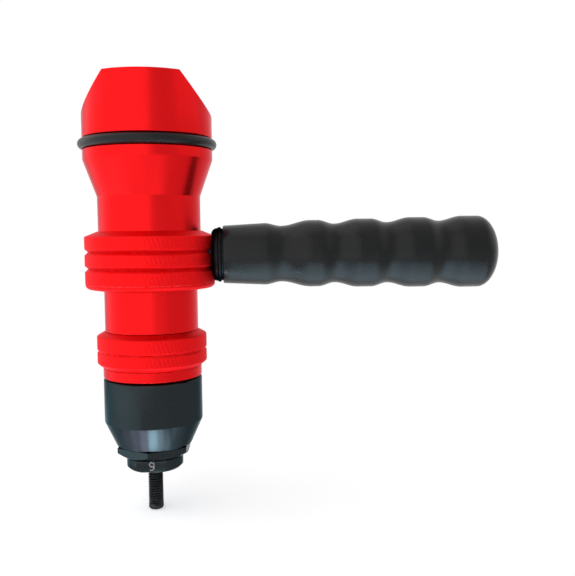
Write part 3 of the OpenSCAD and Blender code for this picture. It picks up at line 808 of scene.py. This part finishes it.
def make_base():
    """Handle base with a slightly slanted bead and a waist."""
    slant = 0.05
    bead = [(BEAD_R - slant * math.cos(a) + BEAD_H * math.sin(a), BEAD_X - BEAD_HALF * math.cos(a))
            for a in turns(math.pi, 12)]
    waist = [(WAIST_R, WAIST_X), (WAIST_R, GRIP_X)]
    bore_r = STUD_R + SEAT
    outline = [(bore_r, BASE_X)] + base_shoulder(0) + bead + waist + [(bore_r, GRIP_X)]
    base = along_handle(lathe(outline))
    new_piece("base_turned", base, base_black, "handle", "black_steel", "handle_base")


def ease(start, end, share):
    """Value on a smooth curve that is level at its start and end."""
    return start + (end - start) * (1 - math.cos(math.pi * share)) / 2


def make_grip():
    """Grip with finger grooves and a domed end."""
    bore_r = STUD_R + SEAT
    stub_x = GRIP_X + GRIP_LEAD
    outline = [(bore_r, GRIP_X), (GRIP_FACE_R, GRIP_X), (GRIP_FACE_R + 0.3, GRIP_X + 0.12),
               (GRIP_START_R, stub_x)]
    widening, stub_l = STUB_R - GRIP_START_R, STUB_L - GRIP_LEAD
    outline += [(GRIP_START_R + widening * k / 6, stub_x + stub_l * k / 6) for k in range(1, 6)]
    before = STUB_R
    for number in range(GROOVE_COUNT):
        first = number == 0
        ridge = RIDGE_FIRST_R + (RIDGE_LAST_R - RIDGE_FIRST_R) * number / (GROOVE_COUNT - 1)
        valley = ridge - GROOVE_DEPTH - (FIRST_DEEPER if first else 0)
        run = GROOVE_RUN + (FIRST_LONGER if first else 0)
        x = GROOVE_X + GROOVE_PITCH * number
        outline += [(ease(before, valley, k / 16), x - GROOVE_LEAD * (1 - k / 16)) for k in range(16)]
        outline += [(ease(valley, ridge, k / 20), x + run * k / 20) for k in range(21)]
        before = ridge
    dome_x = GRIP_END_X - DOME_L
    for a in turns(QUARTER_TURN, 28)[:-1]:
        outline.append((RIDGE_LAST_R * math.cos(a), dome_x + DOME_L * math.sin(a)))
    outline += [(0, GRIP_END_X), (0, GRIP_BORE_X), (bore_r, GRIP_BORE_X)]
    grip = along_handle(lathe(outline, 160))
    new_piece("grip_moulded", grip, grip_black, "handle", "black_grip", "handle_grip")


def make_drive_shaft():
    """Drive shaft with its lead screw, flange and square socket."""
    hub_r = RACE_BORE_R - SEAT
    flange_r = RACE_R - ROOM
    outline = [
        (0, SCREW_Z), (SCREW_R - SCREW_CHAMFER, SCREW_Z), (SCREW_R, SCREW_Z + SCREW_CHAMFER),
        (SCREW_R, UPPER_RACE_Z), (hub_r, UPPER_RACE_Z), (hub_r, FLANGE_Z), (flange_r, FLANGE_Z),
        (flange_r, FLANGE_TOP_Z), (JOURNAL_R, FLANGE_TOP_Z), (JOURNAL_R, DRIVE_TOP_Z - EDGE_BREAK),
        (JOURNAL_R - EDGE_BREAK, DRIVE_TOP_Z), (0, DRIVE_TOP_Z)]
    socket = block((SOCKET_W, SOCKET_W, 2 * SOCKET_DEPTH), Matrix.Translation((0, 0, DRIVE_TOP_Z)))
    shaft = bevelled(combined(lathe(outline, 144), "DIFFERENCE", socket), DRIVE_EDGE)
    new_piece("drive_socket_shaft", shaft, tool_steel, "drive", "tool_steel", "drive_shaft")


# Size number


def ribbon(bm, points):
    """Adds a thin raised band along points on a flat."""
    left, right = [], []
    last = len(points) - 1
    for i, point in enumerate(points):
        along = (Vector(points[min(i + 1, last)]) - Vector(points[max(i - 1, 0)])).normalized()
        side = Vector((-along.y, along.x)) * MARK_STROKE / 2
        left.append(Vector(point) + side)
        right.append(Vector(point) - side)
    lines = []
    for height in (-MARK_SUNK, MARK_RAISED):
        for line in (left, right):
            lines.append([bm.verts.new((*spot, height)) for spot in line])
    for i in range(last):
        for s, t in ((0, 1), (1, 3), (3, 2), (2, 0)):
            bm.faces.new((lines[s][i], lines[s][i + 1], lines[t][i + 1], lines[t][i]))
    for i in (0, last):
        bm.faces.new((lines[0][i], lines[1][i], lines[3][i], lines[2][i]))


def make_size_mark():
    """Number 6 on the front flat of the anvil, seen upside down when the mandrel points down."""
    bm = bmesh.new()
    ribbon(bm, [(MARK_LOOP_R * math.cos(a), MARK_LOOP_Y + MARK_LOOP_R * math.sin(a))
                for a in turns(FULL_TURN, 28)])
    ribbon(bm, [(-MARK_LOOP_R, MARK_LOOP_Y), (-MARK_LOOP_R, 0.1), (-0.75, 0.7), (-0.5, 1.2), (-0.1, 1.5),
                (0.35, 1.5), (0.8, 1.2)])
    upright = Matrix.Rotation(QUARTER_TURN, 4, "X") @ Matrix.Rotation(math.pi, 4, "Z")
    on_flat = Matrix.Translation((MARK_X, -ANVIL_FLATS / 2, MARK_Z)) @ upright
    bmesh.ops.transform(bm, matrix=Matrix.Rotation(NOSE_TURN, 4, "Z") @ on_flat, verts=bm.verts)
    new_piece("size_mark_six", bm, mark, "nose", "bright_steel")


make_body()
make_cap()
make_o_ring()
make_collar()
make_ring()
make_ring_lip()
make_nose()
make_lock_nut()
make_anvil()
make_mandrel()
make_base()
make_grip()
make_drive_shaft()
make_size_mark()


# Floor and world; the floor turns from lit to plain white between its near and its far radius
FLOOR_GAP = 0.02
FLOOR_SIZE = 6000
FLOOR_NEAR = 30
FLOOR_FAR = 260
FLOOR_GLOW = 0.4
WHITE = (1, 1, 1, 1)


def background_rays(tree):
    """1 for the rays that show the background: camera, glossy and transmission rays."""
    path = add(tree, "ShaderNodeLightPath")
    value = path.outputs["Is Camera Ray"]
    for name in ("Is Glossy Ray", "Is Transmission Ray"):
        value = maths(tree, "MAXIMUM", value, path.outputs[name])
    return value


def floor_material():
    """Pale floor that keeps the shadow near the tool and turns to plain white farther off."""
    material, tree, surface = new_material("floor")
    tint = colours(tree, noise(tree, 40.0, 4.0), (0.90, 0.90, 0.905), (0.93, 0.93, 0.935))
    tree.links.new(tint, surface.inputs["Base Color"])
    surface.inputs["Roughness"].default_value = 0.9
    surface.inputs["Specular IOR Level"].default_value = 0.1
    seen = background_rays(tree)

    glow = add(tree, "ShaderNodeEmission", Color=WHITE)
    tree.links.new(maths(tree, "MULTIPLY", seen, FLOOR_GLOW), glow.inputs["Strength"])
    near = add(tree, "ShaderNodeAddShader")
    tree.links.new(surface.outputs["BSDF"], near.inputs[0])
    tree.links.new(glow.outputs["Emission"], near.inputs[1])

    place = add(tree, "ShaderNodeTexCoord")
    reach = add(tree, "ShaderNodeVectorMath", operation="LENGTH")
    tree.links.new(place.outputs["Object"], reach.inputs[0])
    away = span(tree, reach.outputs["Value"], 0.0, 1.0, (FLOOR_NEAR * MM, FLOOR_FAR * MM), "SMOOTHSTEP")
    white = add(tree, "ShaderNodeEmission", Color=WHITE)
    mix = add(tree, "ShaderNodeMixShader")
    tree.links.new(maths(tree, "MULTIPLY", away, seen), mix.inputs["Fac"])
    tree.links.new(near.outputs["Shader"], mix.inputs[1])
    tree.links.new(white.outputs["Emission"], mix.inputs[2])
    tree.links.new(mix.outputs["Shader"], tree.nodes["Material Output"].inputs["Surface"])
    return material


def make_floor():
    """Wide floor just below the mandrel's tip."""
    bm = bmesh.new()
    bmesh.ops.create_grid(bm, x_segments=8, y_segments=8, size=FLOOR_SIZE * MM)
    mesh = bpy.data.meshes.new("floor")
    bm.to_mesh(mesh)
    bm.free()
    mesh.materials.append(floor_material())
    floor = bpy.data.objects.new("floor", mesh)
    floor.location.z = (TIP_Z - FLOOR_GAP) * MM
    scene.collection.objects.link(floor)


def make_world():
    """Soft light from all round, which the background rays see as plain white."""
    world = bpy.data.worlds.new("studio")
    scene.world = world
    world.use_nodes = True
    tree = world.node_tree
    tree.nodes.clear()
    soft = add(tree, "ShaderNodeBackground", Color=(0.96, 0.98, 1.0, 1), Strength=0.5)
    white = add(tree, "ShaderNodeBackground", Color=WHITE)
    mix = add(tree, "ShaderNodeMixShader")
    tree.links.new(background_rays(tree), mix.inputs["Fac"])
    tree.links.new(soft.outputs["Background"], mix.inputs[1])
    tree.links.new(white.outputs["Background"], mix.inputs[2])
    output = add(tree, "ShaderNodeOutputWorld")
    tree.links.new(mix.outputs["Shader"], output.inputs["Surface"])


make_floor()
make_world()


# Lamps
FLOOR_LAMP_Z = -16.5
BLUE = (0.56, 0.84, 1.0)
LILAC = (0.88, 0.8, 1.0)
CYAN = (0.64, 0.9, 1.0)
PALE = (0.74, 0.89, 1.0)


def lamp(name, place, target, size, power, colour=(1, 1, 1), spread=180):
    """Area lamp that faces a target, with its power in watts and its spread in degrees."""
    data = bpy.data.lights.new(name, "AREA")
    data.shape = "RECTANGLE"
    data.size = size[0] * MM
    data.size_y = size[1] * MM
    data.energy = power
    data.color = colour
    data.spread = math.radians(spread)
    made = bpy.data.objects.new(name, data)
    made.location = Vector(place) * MM
    made.rotation_euler = (Vector(target) - Vector(place)).to_track_quat("-Z", "Y").to_euler()
    made.visible_camera = False
    scene.collection.objects.link(made)


def floor_lamp(name, x, y, size, power, colour, spread=180):
    """Lamp just above the floor that shines straight up."""
    lamp(name, (x, y, FLOOR_LAMP_Z), (x, y, 0), size, power, colour, spread)


def level_power(level, size, spread):
    """Power of a lamp with a narrow spread, from the level that is seen along its axis."""
    half = math.radians(spread) / 2
    gain = math.tan(half) / (math.tan(half) - half)
    return level * math.pi * size[0] * MM * size[1] * MM / gain


lamp("left_panel", (-212.5, -25, 330), (615.5, 535, 330), (1026, 700), 1.75)
lamp("top_panel", (-50, 0, 550), (-50, 0, 0), (350, 300), 0.2)
lamp("low_strip", (120, -420, 6), (120, 580, 56), (500, 47), 0.05)
lamp("right_panel", (550, -100, 360), (0, -100, 200), (600, 400), 0.22)
floor_lamp("floor_panel", -180, -20, (240, 300), 0.2, (0.55, 0.93, 1.0))
floor_lamp("nut_panel", -90, -38, (60, 50), 0.012, (0.7, 0.95, 1.0))
floor_lamp("front_panel", 30, -200, (220, 100), 0.06, (0.9, 0.95, 1.0), 140)

# Curved row of small lamps under the cone: left, right, front and back edge, level and colour
CONE_SPREAD = 120
CONE_ROW = [
    (-58, -38, 0, 30, 2.4, LILAC),
    (-46, -29, -20, 8, 3.2, LILAC),
    (-36, -18, -34, -8, 5.0, LILAC),
    (-20, -6, -37, -23, 9.0, LILAC),
    (-6, 7, -38, -27, 28.0, CYAN),
    (6, 16, -37, -24, 12.0, PALE),
    (15, 24, -32, -18, 5.5, PALE),
]
for number, (x0, x1, y0, y1, level, colour) in enumerate(CONE_ROW):
    size = (x1 - x0, y1 - y0)
    power = level_power(level, size, CONE_SPREAD)
    floor_lamp("cone_lamp_%d" % number, (x0 + x1) / 2, (y0 + y1) / 2, size, power, colour, CONE_SPREAD)

# Strips below and in front of the handle, aimed at it: left end, Y, width of the floor that the strip
# covers as seen from the handle, level and spread; their low edges are a little above the floor
STRIP_END = 195
STRIP_LIFT = 4.0
HANDLE_ROW = [
    (14, 0, 50, 3.4, 92),
    (26, -40, 50, 4.2, 92),
    (26, -85, 62, 3.8, 70),
]
rise = HANDLE_Z - TIP_Z
for number, (x0, y, wide, level, spread) in enumerate(HANDLE_ROW):
    x = (x0 + STRIP_END) / 2
    away = math.hypot(y, rise)
    z = TIP_Z + STRIP_LIFT + wide / 2 * abs(y) * rise / away ** 2
    size = (STRIP_END - x0, wide * rise / away)
    power = level_power(level, size, spread)
    lamp("handle_lamp_%d" % number, (x, y, z), (x, 0, HANDLE_Z), size, power, BLUE, spread)


# Camera, fitted to the photograph: focal length and longer side in pixels, place, and angles in radians
FOCAL_PIXELS = 757.17
PHOTO_PIXELS = 576.0
SENSOR_W = 36.0
CAMERA_PLACE = (29.00, -303.13, 93.77)
YAW = 0.0831
PITCH = -0.0753
ROLL = -0.0105


def make_camera():
    """Camera in the photograph's view."""
    data = bpy.data.cameras.new("photo_view")
    data.sensor_width = SENSOR_W
    data.lens = FOCAL_PIXELS * SENSOR_W / PHOTO_PIXELS
    data.clip_start = 10 * MM
    forward = Vector((math.sin(YAW) * math.cos(PITCH), math.cos(YAW) * math.cos(PITCH), math.sin(PITCH)))
    level_right = Vector((math.cos(YAW), -math.sin(YAW), 0))
    level_up = level_right.cross(forward)
    right = math.cos(ROLL) * level_right + math.sin(ROLL) * level_up
    up = -math.sin(ROLL) * level_right + math.cos(ROLL) * level_up
    camera = bpy.data.objects.new("photo_view", data)
    turn = Matrix((right, up, -forward)).transposed()
    camera.matrix_world = Matrix.Translation(Vector(CAMERA_PLACE) * MM) @ turn.to_4x4()
    scene.collection.objects.link(camera)
    scene.camera = camera


make_camera()
scene.view_settings.view_transform = "Standard"
